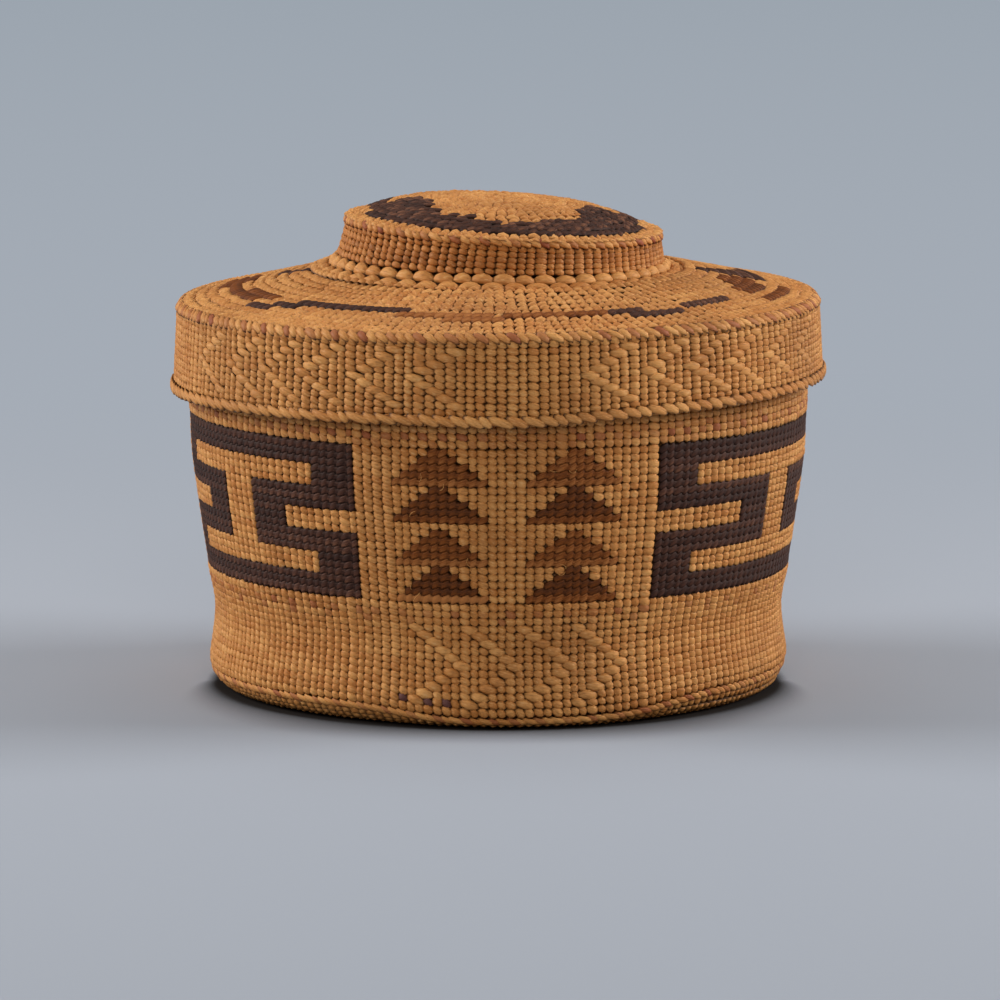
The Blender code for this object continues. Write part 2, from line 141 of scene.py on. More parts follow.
def on_line(line, along, column):
    """Interpolates a column of a middle line's place or normal at an arc length."""
    return np.interp(along, line["length"], column)


def place(line, turn, along, lift, settle):
    """Points of the fabric at a turn round it, an arc length up it and a lift off its middle."""
    radius = on_line(line, along, line["line"][:, 0]) + lift * on_line(line, along, line["normal"][:, 0])
    height = on_line(line, along, line["line"][:, 1]) + lift * on_line(line, along, line["normal"][:, 1])
    x, y = radius * np.sin(turn), -radius * np.cos(turn)
    return np.stack([x, y, settle(x, y, height)], axis=-1)


def closed(angles, extra=4):
    """Angles round the basket, continued past the full turn."""
    return np.concatenate([angles, angles[:extra] + TURN])


def even_columns(count):
    """Evenly spread edges between the columns of stitches."""
    return FRONT_COLUMN_TURN + TURN * np.arange(count) / count


def grown(columns, count):
    """Columns of the next row: new warps split the widest columns, and all ease to even widths."""
    added = count - len(columns)
    if added > 0:
        width = np.diff(closed(columns, 1))
        widest = np.argsort(width * random.uniform(0.8, 1.2, len(width)))[-added:]
        columns = np.sort(np.concatenate([columns, columns[widest] + width[widest] / 2]))
    for _ in range(3):
        before = np.roll(columns, 1)
        before[0] -= TURN
        after = closed(columns, 1)[1:]
        columns = columns + 0.5 * ((before + after) / 2 - columns)
    return columns


def wandering(columns, rows, spread=0.075, drift=0.02):
    """Columns of each row of a wall: some are fat and some thin, and they drift a little."""
    pitch = TURN / len(columns)
    home = columns + random.normal(0, spread, len(columns)) * pitch
    now, found = home.copy(), []
    for _ in range(rows):
        found.append(now)
        now = now + random.normal(0, drift, len(columns)) * pitch + 0.1 * (home - now)
    return found


def uneven(turn, row):
    """A gentle rise and fall of a row, in pitches, which changes little from row to row."""
    found = np.zeros_like(turn)
    for wave in range(2, 9):
        found += np.sin(wave * turn + 2.3 * wave * wave + 0.35 * row) / 9
    return UNEVEN_DEPTH * found * 2


def strand_section(name, thick, wide):
    """Flat section of a strand with rounded sides, as the bevel shape of a curve."""
    curve = bpy.data.curves.new(name, "CURVE")
    spline = curve.splines.new("POLY")
    spline.points.add(SECTION_SIDES - 1)
    for i, point in enumerate(spline.points):
        angle = -TURN * (i + 0.5) / SECTION_SIDES
        point.co = (thick * math.cos(angle) * MM, wide * math.sin(angle) * MM, 0, 1)
    spline.use_cyclic_u = True
    return bpy.data.objects.new(name, curve)


def laid(line, turn, along, lift, plump, tone, dye, settle, ring):
    """A strand through the given places of a fabric, with what its mesh will carry."""
    points = place(line, turn, along, lift, settle)
    slope = np.arctan2(on_line(line, along, line["normal"][:, 1]), on_line(line, along, line["normal"][:, 0]))
    blank = np.zeros(len(turn))
    return dict(points=points, tilt=-slope, plump=plump + blank, lift=lift + blank, tone=tone + blank,
                dye=dye + blank, ring=ring)


def row_strands(line, row, columns, pitch, along, kind, settle, sunk=0.0, dye=0.0, bold=1.0):
    """The two strands of a row of twining, each a closed ring of points over and under the warps."""
    count = len(columns)
    edges = closed(columns)
    width = np.diff(edges[:count + 1])
    float_share = np.clip(width / np.median(width) - 1, 0, 1)
    size = random.normal(1, 0.06, count) * bold
    run = np.repeat(random.uniform(0, 1, count), ROOT_LENGTH)[:count]
    tone = kind["shade"] + (1 - PLAIN_SHADE) * (0.45 * random.uniform(0, 1, count) + 0.4 * run + 0.15 * float_share)
    shift = random.normal(0, kind["stray"], count) * pitch
    leaning = kind["lean"] * (1 - 0.6 * np.sin(columns)) * random.uniform(0.5, 1.5, count)
    sunk, dye = sunk + np.zeros(count), dye + np.zeros(count)
    strands = []
    for strand in range(2):
        start = np.arange(strand, count, 2)
        parts = []
        for first, samples, inner in ((start, kind["outside"], False), (start + 1, kind["inside"], True)):
            begin, end = (edges[edge % count] + TURN * (edge // count) for edge in (first, first + 1))
            hidden = 0 * sunk[start] if inner else sunk[start]
            proud = kind["lift"] * (1 - 0.75 * hidden) * (1 + (FLOAT_PROUD - 1) * float_share[start])
            for t in samples:
                turn = begin + (end - begin) * t
                arch = math.sin(math.pi * t)
                lift = proud * (1.2 * arch ** 0.55 - 0.2) * (-1 if inner else 1)
                sway = math.cos(math.pi * t) * (-1 if inner else 1)
                rise = leaning[start] * sway * pitch + shift[start] * (0 if inner else arch)
                plump = (0.4 + 0.6 * arch ** 0.5) * size[start] * (1 - 0.3 * hidden) * (1 + 0.12 * float_share[start])
                parts.append((turn, lift, rise, plump, tone[first % count], 0 * turn if inner else dye[start]))
        table = np.array(parts).transpose(2, 0, 1).reshape(-1, 6)
        turn, lift, rise, plump, shade, colour = table[np.argsort(table[:, 0], kind="stable")].T
        height = along + rise + uneven(turn, row) * pitch
        strands.append(laid(line, turn, height, lift, plump, shade, colour, settle, True))
    return strands


def strands_mesh(name, strands, section, body, nodes, slot="spruce_root"):
    """Sweeps a section along strands as a piece that rides a body and stands for CAD nodes."""
    curve = bpy.data.curves.new(name, "CURVE")
    curve.dimensions = "3D"
    curve.twist_mode = "Z_UP"
    curve.bevel_mode = "OBJECT"
    curve.bevel_object = section
    for strand in strands:
        spline = curve.splines.new("POLY")
        spline.points.add(len(strand["points"]) - 1)
        places = np.ones((len(strand["points"]), 4), np.float32)
        places[:, :3] = strand["points"] * MM
        spline.points.foreach_set("co", places.ravel())
        spline.points.foreach_set("tilt", strand["tilt"].astype(np.float32))
        spline.points.foreach_set("radius", strand["plump"].astype(np.float32))
        spline.use_cyclic_u = strand["ring"]
    holder = bpy.data.objects.new(name, curve)
    link(holder)
    graph = bpy.context.evaluated_depsgraph_get()
    mesh = bpy.data.meshes.new_from_object(holder.evaluated_get(graph), depsgraph=graph)
    bpy.data.objects.remove(holder)
    corners = [point.co.x / MM for point in section.data.splines[0].points]
    whole = {key: np.concatenate([s[key] for s in strands]) for key in ("tone", "dye", "lift", "plump")}
    proud = np.repeat(whole["lift"], SECTION_SIDES) + np.outer(whole["plump"], corners).ravel()
    for key, values in (("tone", np.repeat(whole["tone"], SECTION_SIDES)),
                        ("dye", np.repeat(whole["dye"], SECTION_SIDES)), ("proud", proud)):
        mesh.attributes.new(key, "FLOAT", "POINT").data.foreach_set("value", values.astype(np.float32))
    fibre_map(mesh, strands)
    if not all(s["ring"] for s in strands):
        shape = bmesh.new()
        shape.from_mesh(mesh)
        bmesh.ops.holes_fill(shape, edges=[e for e in shape.edges if e.is_boundary], sides=SECTION_SIDES)
        shape.to_mesh(mesh)
        shape.free()
    mesh.name = name
    mesh.materials.clear()
    mesh.materials.append(slot_materials[slot])
    piece = bpy.data.objects.new(name, mesh)
    link(piece)
    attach(piece, body)
    if nodes:
        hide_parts(*nodes)


def fibre_map(mesh, strands):
    """UV map in millimetres: along each strand, and round it."""
    sides = SECTION_SIDES
    along, total = [], []
    for strand in strands:
        steps = np.linalg.norm(np.diff(strand["points"], axis=0), axis=1)
        length = np.append(0, np.cumsum(steps))
        along.append(length)
        total.append(np.full(len(length), length[-1]))
    along, total = (np.repeat(np.concatenate(a), sides) for a in (along, total))
    corners = np.zeros(len(mesh.loops), np.int32)
    mesh.loops.foreach_get("vertex_index", corners)
    corners = corners.reshape(-1, 4)
    u, v = along[corners], (corners % sides).astype(float)
    u += np.where((u.max(1) - u.min(1) > total[corners[:, 0]] / 2)[:, None] & (u < total[corners] / 2),
                  total[corners], 0)
    v += np.where((v.max(1) - v.min(1) > sides / 2)[:, None] & (v < sides / 2), sides, 0)
    mesh.uv_layers[0].name = "fibre"
    mesh.uv_layers[0].data.foreach_set("uv", np.stack([u, v], axis=-1).astype(np.float32).ravel())


def level(x, y, height):
    """Leaves a row as it is."""
    return height


# Split spruce root: a golden tan that darkens with age and handling, matt, with fine fibres along
# the strand, some pale and some dark. The grooves between the stitches are darkened with painted
# shade, deeper than the shadow the strands cast there, and a few stitches keep a dull red or purple dye.
GROOVE_SHADE_PROUD = (0.15, 0.85)         # mm off the fabric's middle: in full painted shade, and free of it
root = empty_material("twined_spruce_root")


def fibre_grain(material, stretch):
    """Fibres of about 0.4 mm along a strand, coarser than life so that they show."""
    fibre = add_node(material, "UVMap", uv_map="fibre")
    stretched = add_node(material, "Mapping", {"Scale": (stretch, 2.4, 1.0)}, {"Vector": (fibre, "UV")})
    return add_node(material, "TexNoise", {"Scale": 1.0, "Detail": 4.0}, {"Vector": (stretched, "Vector")})


tone, dye, proud = (add_node(root, "Attribute", attribute_name=key) for key in ("tone", "dye", "proud"))
grain = fibre_grain(root, 0.7)
space = add_node(root, "TexCoord")  # wear comes in patches of about 20 mm
wear = add_node(root, "TexNoise", {"Scale": 45.0, "Detail": 5.0}, {"Vector": (space, "Object")})
root_colour = add_node(root, "ValToRGB", links={"Fac": (tone, "Fac")})
root_colour.color_ramp.elements[0].color = linear("#905420")
root_colour.color_ramp.elements[1].color = linear("#e2a25a")
root_colour.color_ramp.elements.new(PLAIN_SHADE).color = linear("#bb7330")
tinted = (root_colour, "Color")
for source, low, high, most, tint in ((wear, 0.48, 0.72, 0.55, "#a0632a"), (grain, 0.5, 0.75, 0.6, "#7d4c20"),
                                      (grain, 0.45, 0.25, 0.6, "#e9bd80")):  # worn, dark fibres, pale fibres
    share = add_node(root, "MapRange", {"From Min": low, "From Max": high, "To Max": most},
                     {"Value": (source, "Fac")})
    tinted = (add_node(root, "Mix", {"B": linear(tint)}, {"A": tinted, "Factor": (share, "Result")},
                       data_type="RGBA"), 2)
dye_colour = add_node(root, "ValToRGB", links={"Fac": (dye, "Fac")})
dye_colour.color_ramp.elements[0].position = 0.5
dye_colour.color_ramp.elements[0].color = linear("#8f4223")
dye_colour.color_ramp.elements[1].color = linear("#4f2a33")
dye_share = add_node(root, "MapRange", {"From Max": 0.5, "To Max": 0.9}, {"Value": (dye, "Fac")})
dyed = add_node(root, "Mix", {}, {"A": tinted, "B": (dye_colour, "Color"), "Factor": (dye_share, "Result")},
                data_type="RGBA")
# Painted shade: points near the fabric's middle, deep in the grooves, are painted dark.
off_middle = add_node(root, "Math", {}, {0: (proud, "Fac")}, operation="ABSOLUTE")
groove_shade_share = add_node(root, "MapRange",
                        {"From Min": GROOVE_SHADE_PROUD[0], "From Max": GROOVE_SHADE_PROUD[1], "To Min": 0.92, "To Max": 0.0},
                        {"Value": (off_middle, "Value")}, interpolation_type="SMOOTHSTEP")
groove_shaded = add_node(root, "Mix", {"B": linear("#3b2009")},
                   {"A": (dyed, 2), "Factor": (groove_shade_share, "Result")}, data_type="RGBA")
relief = add_node(root, "Bump", {"Strength": 1.0, "Distance": 0.00015}, {"Height": (grain, "Fac")})
surface = add_node(root, "BsdfPrincipled", {"Roughness": 0.62, "IOR": 1.4},
                   {"Base Color": (groove_shaded, 2), "Normal": (relief, "Normal")})
add_node(root, "OutputMaterial", links={"Surface": (surface, "BSDF")})
slot_materials = {"spruce_root": root}

WALL_SECTION = strand_section("wall_section", 0.45, 1.06)
base_line = middle_line(face_points(skin("base", "foot_ring"), np.arange(0, 62.0, 1.0), False))
base_tops = np.linspace(FIRST_RADIUS, BASE_LAST_RADIUS, BASE_ROWS)
base_pitch = base_tops[1] - base_tops[0]
base_along = np.interp(base_tops, base_line["line"][:, 0], base_line["length"])


def disc_strands(line, radii, pitch, alongs):
    """The rows of a twined disc, which takes in more warps as it grows."""
    columns, strands = even_columns(FIRST_WARPS), []
    for row, (radius, along) in enumerate(zip(radii, alongs)):
        wanted = min(WARPS, int(TURN * radius / WARP_SPACING / 2) * 2)
        columns = grown(columns, max(wanted, len(columns)))
        strands += row_strands(line, row, columns, pitch, along, COARSE_TWINE, level, bold=1.12)
    return strands


base_strands = disc_strands(base_line, base_tops, base_pitch, base_along)
strands_mesh("twined_bottom", base_strands, WALL_SECTION, "basket", ["base"])


# Heel and walls. The wall turns up from the bottom in five close rows, and a row of
# three-strand twining marks the heel. Above it the same two-strand twining goes on, with every
# warp standing, and plain stitches over two warps at a time draw a faint zigzag at the front.
LOWER_ROWS = 15
LOWER_RIBS = 14                     # ribs that the plain shape has there, probed at their crests
LOWER_START = 5.9
HEEL_RIDGE_HEIGHT = 4.9
HEEL_PROFILE = ((57.0, 0.0), (60.0, 0.0), (62.0, 0.1), (63.2, 0.4), (64.2, 0.9), (65.1, 1.7), (65.8, 2.8), (66.2, 4.0))
HEEL_SAG = 3.2                      # mm that the heel's ridge lies lower at the front
HEEL_SAG_TURN = math.radians(8)
HEEL_SAG_WIDTH = math.radians(28)
FIGURE_ROWS = 21
UPPER_ROWS = 13
HEEL_ROWS = 5
HEEL_FIRST_ROW = 2.0                # mm along the profile
HEEL_LAST_ROW_HEIGHT = 3.5
COLUMNS_LEFT = 16                   # columns that the wall's first one lies left of the front
LEFT_CHEVRON_TURN = -15.6           # degrees from the front
CHEVRON_SPACING = 6
CHEVRONS = 4
PURPLE_TURNS = (-19.9, -15.8, -14.0, -11.0)
PURPLE_HEIGHT = 8.3
RED_HEIGHTS = ((66.6, 2, 0.34), (65.0, 2, 0.12), (68.3, 4, 0.2), (27.0, 3, 0.28), (25.0, 5, 0.25))
BODY_TILTS = ((0.0, 0.0), (1.5, 0.0), (4.0, 0.008), (8.0, 0.011), (28.0, -0.002), (64.0, -0.003), (90.0, 0.0))
RIDGE_CORE = 0.35                   # mm that a ridge's core lies off the fabric's middle
LAY_AT = np.array((0.0, 0.18, 0.5, 0.82, 1.0))
LAY_RISE = np.array((-0.5, -0.37, 0.0, 0.37, 0.5))
LAY_LIFT = np.array((0.0, 0.84, 1.0, 0.84, 0.0))
LAY_PLUMP = np.array((0.75, 1.0, 1.08, 1.0, 0.75))


def heights_of(name):
    """Lowest and highest point of a CAD node."""
    return [corner.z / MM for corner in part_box(name)]


def along_at(line, height):
    """Arc length at which a middle line has climbed to a height."""
    return np.interp(height, line["line"][:, 1], line["length"])


def body_settle(x, y, height):
    """The rows of the body run a little aslant, and its heel sags at the front."""
    heights, tilts = np.array(BODY_TILTS).T
    turn = np.arctan2(x, -y)
    sag = HEEL_SAG * np.exp(-((turn - HEEL_SAG_TURN) / HEEL_SAG_WIDTH) ** 4)
    sag *= np.interp(height, (0.4, HEEL_RIDGE_HEIGHT, 26.0), (0, 1, 0))
    return height + x * np.interp(height, heights, tilts) - sag


lower_low, lower_high = heights_of("lower_wall")
figure_low, figure_high = heights_of("figure_wall")
upper_low, upper_high = heights_of("upper_wall")
wall_rows = np.concatenate([
    LOWER_START + (np.arange(LOWER_ROWS) + 0.5) * (lower_high - LOWER_START) / LOWER_ROWS,
    figure_low + (np.arange(FIGURE_ROWS) + 0.5) * (figure_high - figure_low) / FIGURE_ROWS,
    upper_low + (np.arange(UPPER_ROWS) + 0.5) * (upper_high - upper_low) / UPPER_ROWS])
wall_skin = skin("lower_wall", "figure_wall", "upper_wall", "body_rim")
crests = np.concatenate([lower_low + (np.arange(LOWER_RIBS) + 0.5) * (lower_high - lower_low) / LOWER_RIBS,
                         wall_rows[LOWER_ROWS:]])
body_line = middle_line(list(HEEL_PROFILE) + side_points(wall_skin, crests), ease=5)
wall_pitch = np.gradient(wall_rows)
wall_along = along_at(body_line, wall_rows)
even = even_columns(WARPS) - COLUMNS_LEFT * TURN / WARPS
body_columns = wandering(even, len(wall_rows))
figure_nodes = [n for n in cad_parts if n.startswith(("key_figure", "triangles"))]
figure_skins = {name: skin(name) for name in figure_nodes}


def figure_cells_of(tree, columns, radius, height, inward, reach=60.0):
    """Which stitches of a row lie on a figure: level probes inward from a ring, or upright ones down."""
    edges = closed(columns, 1)
    found = []
    for turn in (edges[:-1] + edges[1:]) / 2:
        x, y = math.sin(turn), -math.cos(turn)
        way = (-x, -y, 0) if inward else (0, 0, -1)
        found.append(tree.ray_cast((radius * x, radius * y, height), way, reach)[0] is not None)
    return np.array(found, float)


figure_cells = {name: [] for name in figure_nodes}
sunk_rows = []
for row, height in enumerate(wall_rows):
    covered = np.zeros(WARPS)
    if figure_low < height < figure_high:
        for name, tree in figure_skins.items():
            cells = figure_cells_of(tree, even, 100.0, height, True)
            covered = np.maximum(covered, cells)
            if cells.any():
                figure_cells[name].append((row, cells))
    sunk_rows.append(covered)


def nearest_column(turn):
    """Number of the wall's column at a turn in degrees."""
    return round((math.radians(turn) - even[0]) / (TURN / WARPS)) % WARPS


def nearest_row(height):
    """Number of the wall's row at a height."""
    return np.abs(wall_rows - height).argmin()


dye_rows = np.zeros((len(wall_rows), WARPS))
for height, every, share in RED_HEIGHTS:
    row = nearest_row(height)
    spots = np.arange(random.integers(every), WARPS, every)
    dye_rows[row, spots] = share * random.uniform(0.3, 1.3, len(spots))
for turn in PURPLE_TURNS:
    dye_rows[nearest_row(PURPLE_HEIGHT), nearest_column(turn)] = 1.0


def with_floats(columns, centres):
    """Columns where pairs on either side of the named edges are joined into one wide stitch."""
    centres = sorted(set(c % len(columns) for c in centres))
    if (len(columns) - len(centres)) % 2:
        centres.append(len(columns) // 2 + 1)
    keep = np.ones(len(columns), bool)
    keep[centres] = False
    return columns[keep], keep


def chevron_edges(row):
    """Edges at the middle of the wide stitches of the lower wall's zigzag, for a row."""
    down = LOWER_ROWS - 4 - row
    if down < 0 or down > 10:
        return []
    shift = down if down < 6 else 10 - down
    return [nearest_column(LEFT_CHEVRON_TURN) + shift + CHEVRON_SPACING * i for i in range(CHEVRONS)]


def laid_aslant(line, row, begin, end, along, tall, proud, settle, tone, dye=0.0, bold=1.0, lift=LAY_LIFT,
                plump=LAY_PLUMP):
    """One short stitch laid aslant over a row, with both ends tucked into the fabric."""
    turn = begin + (end - begin) * LAY_AT
    height = along + tall * LAY_RISE + uneven(turn, row) * abs(tall)
    return laid(line, turn, height, proud * lift, bold * plump, tone, dye, settle, False)


def ridge(name, body, node, line, along, count, tall, reach, settle, section, proud=0.85, faded=0.0):
    """A row of three-strand twining or braiding: slanting stitches laid round a core."""
    columns = wandering(even_columns(count), 1, spread=0.12)[0]
    edges = closed(columns, 2)
    strands = [laid(line, columns, along + 0 * columns, RIDGE_CORE, 0.9, PLAIN_SHADE, 0.0, settle, True)]
    run = np.repeat(random.uniform(0, 1, count), ROOT_LENGTH)[:count]
    for i in range(count):
        wide = edges[i + 1] - edges[i]
        share = faded * random.uniform(0.5, 1.2) if i % 3 == 0 else 0.0
        tone = PLAIN_SHADE + (1 - PLAIN_SHADE) * (0.5 * run[i] + 0.5 * random.uniform())
        strands.append(laid_aslant(line, 0, edges[i] - 0.1 * wide, edges[i] + reach * wide, along, -tall, proud,
                                   settle, tone, share, random.normal(1, 0.05)))
    strands_mesh(name, strands, section, body, [node])


heel_along = np.linspace(HEEL_FIRST_ROW, along_at(body_line, HEEL_LAST_ROW_HEIGHT), HEEL_ROWS)
heel_pitch = heel_along[1] - heel_along[0]
heel_strands = []
for row, along in enumerate(heel_along):
    heel_strands += row_strands(body_line, row - HEEL_ROWS, body_columns[0], heel_pitch, along, COARSE_TWINE,
                                body_settle)
strands_mesh("twined_heel", heel_strands, WALL_SECTION, "basket", ["foot_ring"])
upper_first = LOWER_ROWS + FIGURE_ROWS
for node, first, last in (("lower_wall", 0, LOWER_ROWS), ("figure_wall", LOWER_ROWS, upper_first),
                          ("upper_wall", upper_first, len(wall_rows))):
    middle = (first + last) // 2
    for half, rows in (("lower", range(first, middle)), ("upper", range(middle, last))):
        strands = []
        for row in rows:
            columns, keep = with_floats(body_columns[row], chevron_edges(row))
            strands += row_strands(body_line, row, columns, wall_pitch[row], wall_along[row], PLAIN_TWINE,
                                   body_settle, sunk=sunk_rows[row][keep], dye=dye_rows[row][keep])
        strands_mesh(f"{node}_twining_{half}", strands, WALL_SECTION, "basket", [node])

RIDGE_SECTION = strand_section("ridge_section", 0.4, 0.65)
heel_ridge_along = along_at(body_line, HEEL_RIDGE_HEIGHT)
ridge("heel_ridge_twining", "basket", "heel_ridge", body_line, heel_ridge_along, WARPS, 1.2, 1.8, body_settle,
      RIDGE_SECTION, faded=0.35)
ridge("rim_twining", "basket", "body_rim", body_line, body_line["length"][-1] - 0.5, WARPS, 1.6, 1.5, level,
      RIDGE_SECTION)


# Figures of the wall. Dyed strands are carried on the outside only, wrapped once round the front
# weft at every stitch, so that each row of a figure reads as a cord with slanting turns. The key
# figures are near black, and the stepped triangles are brown.
OVERLAY_SECTION = strand_section("overlay_section", 0.42, 0.95)
OVERLAY_PROUD = 0.72
OVERLAY_CORE = 0.64
OVERLAY_PLUMP = np.array((0.45, 0.85, 1.0, 0.85, 0.45))
OVERLAY_LIFT = np.array((0.45, 0.9, 1.0, 0.9, 0.45))
ROW_PITCH = wall_pitch[LOWER_ROWS + 1]
PALE_FIGURE = "triangles_front_left_lower"  # its lowest row was worked in a hardly dyed strand
PALE_TONE = 0.9


def overlay_material(name, dark, middle, light, painted_groove_shade):
    """Dyed grass or root overlay: smooth, a little glossy, with its dye worn thin in places and its grooves in painted
    shade.
    """
    made = empty_material(name)
    tone, proud = (add_node(made, "Attribute", attribute_name=key) for key in ("tone", "proud"))
    grain = fibre_grain(made, 0.5)
    grain_share = add_node(made, "MapRange", {"From Min": 0.3, "From Max": 0.75, "To Min": -0.2, "To Max": 0.45},
                           {"Value": (grain, "Fac")})
    both = add_node(made, "Math", {}, {0: (tone, "Fac"), 1: (grain_share, "Result")}, operation="ADD")
    ramp = add_node(made, "ValToRGB", links={"Fac": (both, "Value")})
    ramp.color_ramp.elements[0].color = linear(dark)
    ramp.color_ramp.elements[1].color = linear(light)
    ramp.color_ramp.elements.new(0.5).color = linear(middle)
    # Painted shade: the row grooves between the turns are painted dark.
    groove_shade_share = add_node(made, "MapRange", {"From Min": 0.55, "From Max": 1.1, "To Min": 0.92, "To Max": 0.0},
                            {"Value": (proud, "Fac")}, interpolation_type="SMOOTHSTEP")
    groove_shaded = add_node(made, "Mix", {"B": linear(painted_groove_shade)},
                       {"A": (ramp, "Color"), "Factor": (groove_shade_share, "Result")}, data_type="RGBA")
    relief = add_node(made, "Bump", {"Strength": 0.3, "Distance": 0.0001}, {"Height": (grain, "Fac")})
    shader = add_node(made, "BsdfPrincipled", {"Roughness": 0.6, "IOR": 1.4, "Specular IOR Level": 0.25},
                      {"Base Color": (groove_shaded, 2), "Normal": (relief, "Normal")})
    add_node(made, "OutputMaterial", links={"Surface": (shader, "BSDF")})
    return made


# The last colour of each overlay is the painted shade of its grooves.
slot_materials["dark_overlay"] = overlay_material("dark_dyed_overlay", "#2d170f", "#502f21", "#8c5d42", "#0e0603")
slot_materials["brown_overlay"] = overlay_material("brown_dyed_overlay", "#4e2608", "#7c400f", "#ad6d38", "#220e02")


def runs(cells):
    """Neighbouring covered stitches, as (first, count), round the closed row."""
    count = len(cells)
    if cells.all():
        return [(0, count)]
    starts = [i for i in range(count) if cells[i] and not cells[i - 1]]
    found = []
    for start in starts:
        length = 1
        while cells[(start + length) % count]:
            length += 1
        found.append((start, length))
    return found


def overlay_strands(line, row, columns, first, count, pitch, along, settle, tone, vary=0.1, loose=0.0):
    """One dyed strand over a run of stitches: its hidden length, and a slanting turn at each."""
    total = len(columns)
    edges = np.array([columns[i % total] + TURN * (i // total) for i in range(first, first + count + 1)])
    middles = np.sort(np.concatenate([edges, (edges[1:] + edges[:-1]) / 2]))[1:-1]
    height = along + uneven(middles, row) * pitch
    flat = OVERLAY_SECTION.data.splines[0].points[1].co.y / MM
    found = [laid(line, middles, height, OVERLAY_CORE, 0.5 * pitch / abs(flat), max(0.0, tone - 0.1), 0.0,
                  settle, False)] if count > 1 else []
    for begin, end in zip(edges[:-1], edges[1:]):
        wide = end - begin
        found.append(laid_aslant(line, row, begin - 0.08 * wide, end + 0.08 * wide,
                                 along + random.normal(0, loose) * pitch, 0.85 * pitch, OVERLAY_PROUD, settle,
                                 tone + random.uniform(-vary, vary), 0.0, random.normal(1, 0.03) * pitch / ROW_PITCH,
                                 OVERLAY_LIFT, OVERLAY_PLUMP))
    return found


for name in figure_nodes:
    strands = []
    longest = max(cells.sum() for _, cells in figure_cells[name])
    base_rows = [row for row, cells in figure_cells[name] if cells.sum() == longest]
    for row, cells in figure_cells[name]:
        for first, count in runs(cells):
            tone = random.uniform(0.05, 0.4)
            if name.startswith("triangles"):
                tone = random.uniform(0.0, 0.15) + (0.35 if row >= base_rows[-1] else 0.05)
                tone += 0.25 if row in base_rows else 0.0
                tone += PALE_TONE if name == PALE_FIGURE and row == base_rows[0] else 0.0
            strands += overlay_strands(body_line, row, body_columns[row], first, count, wall_pitch[row],
                                       wall_along[row], body_settle, tone)
    strands_mesh(name + "_overlay", strands, OVERLAY_SECTION, "basket", [name],
                 "dark_overlay" if name.startswith("key") else "brown_overlay")


# Frayed fibres. Fine pale ends have worn loose from the stepped triangles and from the plain
# zigzag below them, and stand a little off the wall in short curls.
FRAYS_PER_FIGURE = 3
ZIGZAG_FRAYS = 9
FRAY_LENGTHS = (1.2, 3.0)
FRAY_BEND = 3.5                     # radians that a fibre curls through, at most
FRAY_STEPS = np.linspace(0, 1, 9)


def frayed(turn, along):
    """A fibre that leaves the wall at a place and curls over it."""
    heading = random.uniform(0, TURN) + random.uniform(-FRAY_BEND, FRAY_BEND) * FRAY_STEPS
    step = random.uniform(*FRAY_LENGTHS) / len(FRAY_STEPS)
    radius = on_line(body_line, along, body_line["line"][:, 0])
    lift = 0.8 + random.uniform(0.3, 0.9) * np.sin(2.5 * FRAY_STEPS)
    return laid(body_line, turn + np.cumsum(np.cos(heading)) * step / radius,
                along + np.cumsum(np.sin(heading)) * step, lift, 1.1 - 0.5 * FRAY_STEPS, 1.0, 0.0, body_settle, False)


frays = []
for name in figure_nodes:
    for _ in range(FRAYS_PER_FIGURE if name.startswith("triangles") else 0):
        row, cells = figure_cells[name][random.integers(len(figure_cells[name]))]
        frays.append(frayed(body_columns[row][random.choice(np.flatnonzero(cells))], wall_along[row]))
for _ in range(ZIGZAG_FRAYS):
    row = int(random.integers(2, LOWER_ROWS - 3))
    frays.append(frayed(math.radians(random.uniform(-16, 22)), wall_along[row]))
strands_mesh("frayed_fibres", frays, strand_section("fray_section", 0.07, 0.07), "basket", [])


# Lid. Its shallow top is twined out from the knob, three-strand twining turns the edge, and the
# flange hangs over the wall down to a braided edge that stands out like a cord.
LID_ROWS = 11
LID_OUTSET = 0.45                   # mm that the outermost row reaches in under the edge's ridge
FLANGE_ROWS = 11
LID_TILT = 0.010
BRAID_TILT = 0.0225
BRAID_HEIGHT = 71.75
FLANGE_FIRST = 72.7
BRAID_DIP = 1.2
DIP_TURN = math.radians(4)
DIP_WIDTH = math.radians(16)
FLANGE_CHEVRONS = ((-58.0, 6), (24.0, 6))
BRAID_STITCHES = 144
LID_WARP_SPACING = 2.27
LID_INNER_WARPS = 120
PROBE_TOP = 140.0
lid_edge_height = sum(heights_of("lid_edge_ridge")) / 2


def lid_settle(x, y, height):
    """The lid sits a little askew: its edge and braid run up to the right, and the braid dips."""
    share = np.clip((lid_edge_height - height) / (lid_edge_height - BRAID_HEIGHT), 0, 1)
    turn = np.arctan2(x, -y)
    dip = BRAID_DIP * np.exp(-((turn - DIP_TURN) / DIP_WIDTH) ** 2)
    return height + x * (LID_TILT + (BRAID_TILT - LID_TILT) * share) - dip * share


flange_low, flange_high = heights_of("lid_flange")
flange_heights = np.linspace(flange_low + 0.2, flange_high - 0.2, 18)
flange_line = middle_line(side_points(skin("lid_flange"), flange_heights), ease=3)
flange_pitch = (flange_high - FLANGE_FIRST) / FLANGE_ROWS
flange_columns = wandering(even, FLANGE_ROWS)
flange_strands = []


def flange_edges(row):
    """Edges at the middle of the flange's wide stitches, for a row counted from its top."""
    down = row - 1
    if down < 0 or down > 8:
        return []
    shift = -down if down < 5 else down - 8
    return [nearest_column(turn) + shift + round(5.5 * i) for turn, count in FLANGE_CHEVRONS for i in range(count)]


